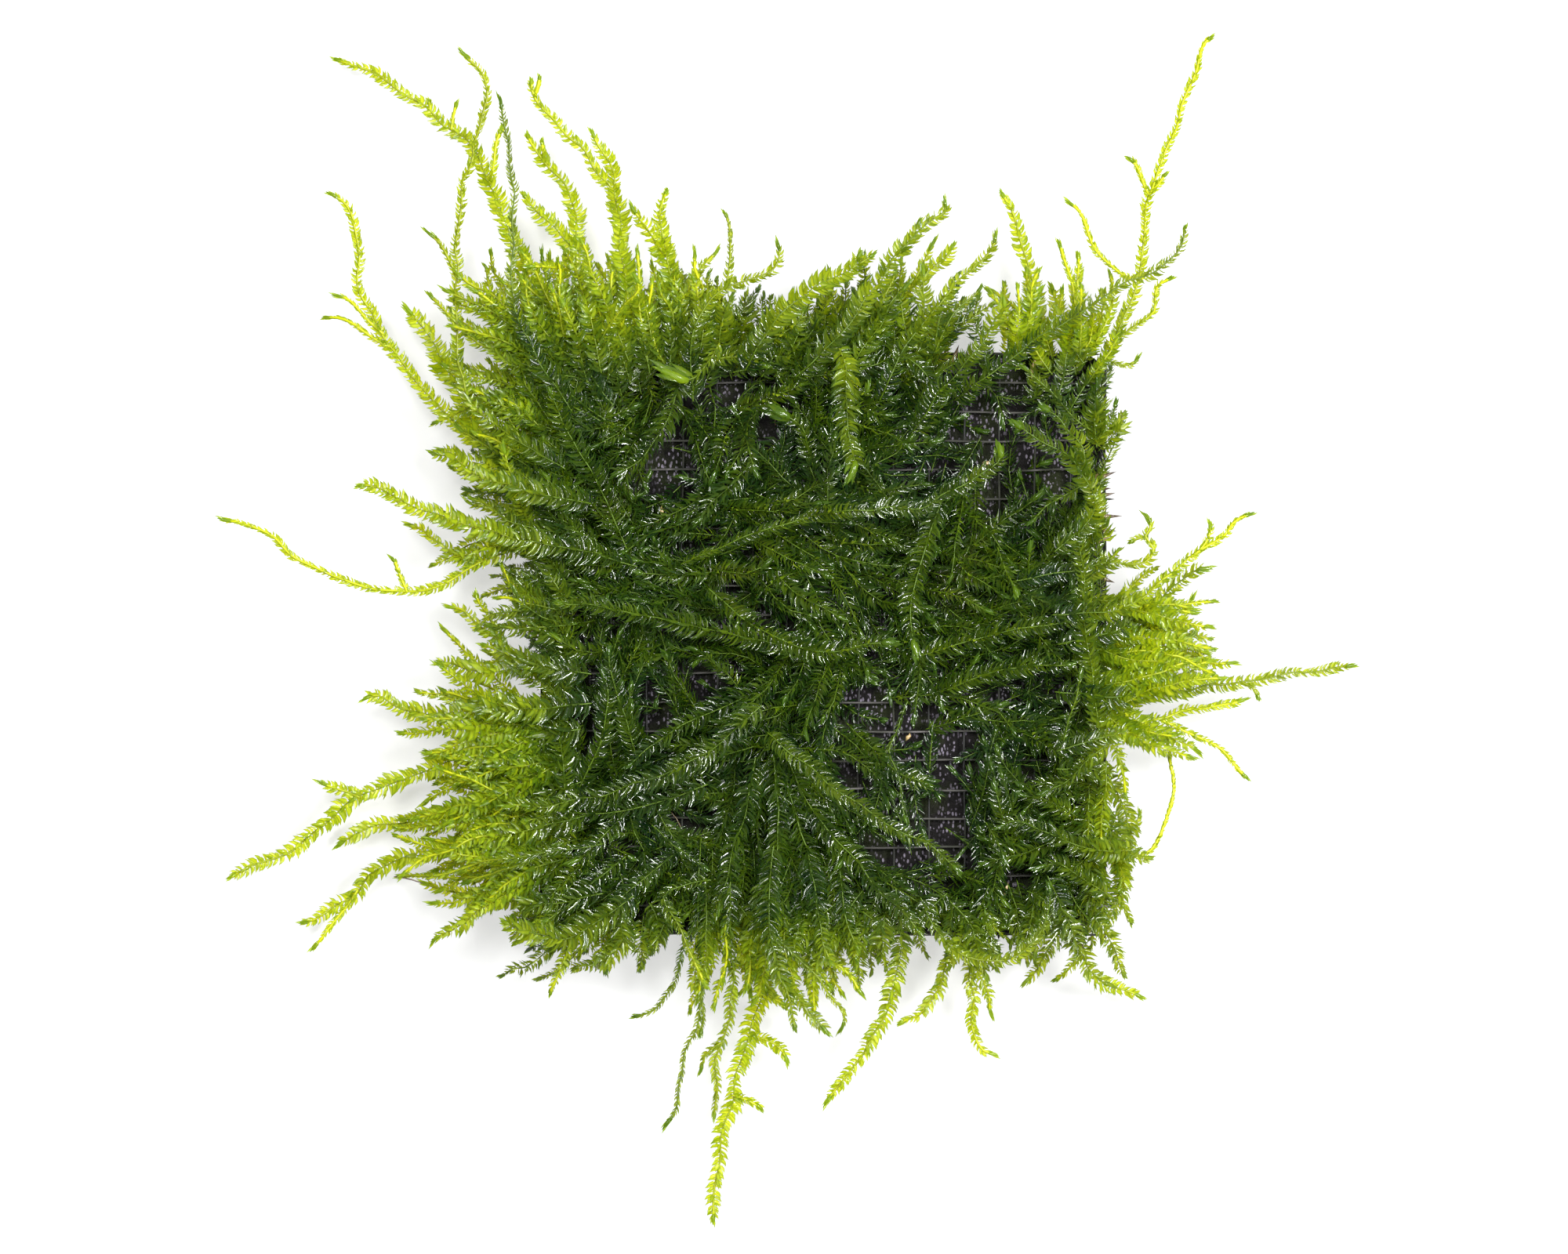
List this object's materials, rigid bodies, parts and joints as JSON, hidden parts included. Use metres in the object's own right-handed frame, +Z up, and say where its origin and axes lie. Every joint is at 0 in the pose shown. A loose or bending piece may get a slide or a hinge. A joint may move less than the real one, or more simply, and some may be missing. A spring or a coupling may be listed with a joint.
{
  "type": "spiky moss on a mesh growing pad",
  "caption": "Square black fibre pad under a fine wire mesh, grown over with spiky aquarium moss whose leafy fronds spread past all four edges.",
  "frame": {"origin": "middle of the mat's flat underside, on the surface that it rests on", "axes": "+Z up out of the mat towards the moss, +X and +Y along the mat's sides, +X to the right and +Y to the far edge in the picture"},
  "size_m": [0.1017, 0.1062, 0.0152],
  "materials": {
    "mat": "wet black fibre",
    "wire": "bright wet wire",
    "moss_cushion": "wet dark green leaf",
    "moss_frond": "wet yellow-green leaf"
  },
  "bodies": {
    "root": {"growing_mat": "mat", "wire_mesh": "wire", "cushion_northwest": "moss_cushion", "cushion_west": "moss_cushion", "cushion_southwest": "moss_cushion", "cushion_north": "moss_cushion", "cushion_middle": "moss_cushion", "cushion_east": "moss_cushion", "cushion_hub": "moss_cushion", "cushion_south": "moss_cushion", "cushion_southeast": "moss_cushion", "frond_far_northwest": "moss_frond", "frond_forked_north": "moss_frond", "frond_branched_north": "moss_frond", "frond_hooked_west": "moss_frond", "frond_thin_west": "moss_frond", "frond_long_southwest": "moss_frond", "frond_second_southwest": "moss_frond", "frond_forked_southwest": "moss_frond", "frond_broad_southwest": "moss_frond", "frond_corner_southwest": "moss_frond", "frond_longest_south": "moss_frond", "frond_comb_south": "moss_frond", "frond_corner_southeast": "moss_frond", "frond_hanging_east": "moss_frond", "frond_bud_east": "moss_frond", "frond_upright_northeast": "moss_frond", "frond_long_northeast": "moss_frond", "frond_short_northeast": "moss_frond", "frond_low_east": "moss_frond", "frond_club_east": "moss_frond", "frond_longest_east": "moss_frond", "frond_broad_west": "moss_frond", "frond_crook_west": "moss_frond", "frond_tall_northwest": "moss_frond", "frond_spire_north": "moss_frond", "frond_short_north": "moss_frond", "frond_leaning_north": "moss_frond", "frond_narrow_south": "moss_frond", "frond_slanting_south": "moss_frond", "frond_thin_southwest": "moss_frond", "frond_whip_south": "moss_frond", "frond_bunched_south": "moss_frond", "frond_high_west": "moss_frond", "frond_comb_west": "moss_frond", "frond_dark_northwest": "moss_frond", "frond_crooked_north": "moss_frond", "frond_hand_north": "moss_frond", "frond_swept_north": "moss_frond", "frond_feather_north": "moss_frond", "frond_crossing_northeast": "moss_frond", "frond_forked_east": "moss_frond", "frond_curled_east": "moss_frond", "frond_arc_southeast": "moss_frond", "frond_spiked_northeast": "moss_frond", "frond_bright_middle": "moss_frond", "frond_crossing_middle": "moss_frond", "frond_pale_east": "moss_frond", "frond_hub_southeast": "moss_frond", "frond_hub_west": "moss_frond"}
  },
  "joints": []
}
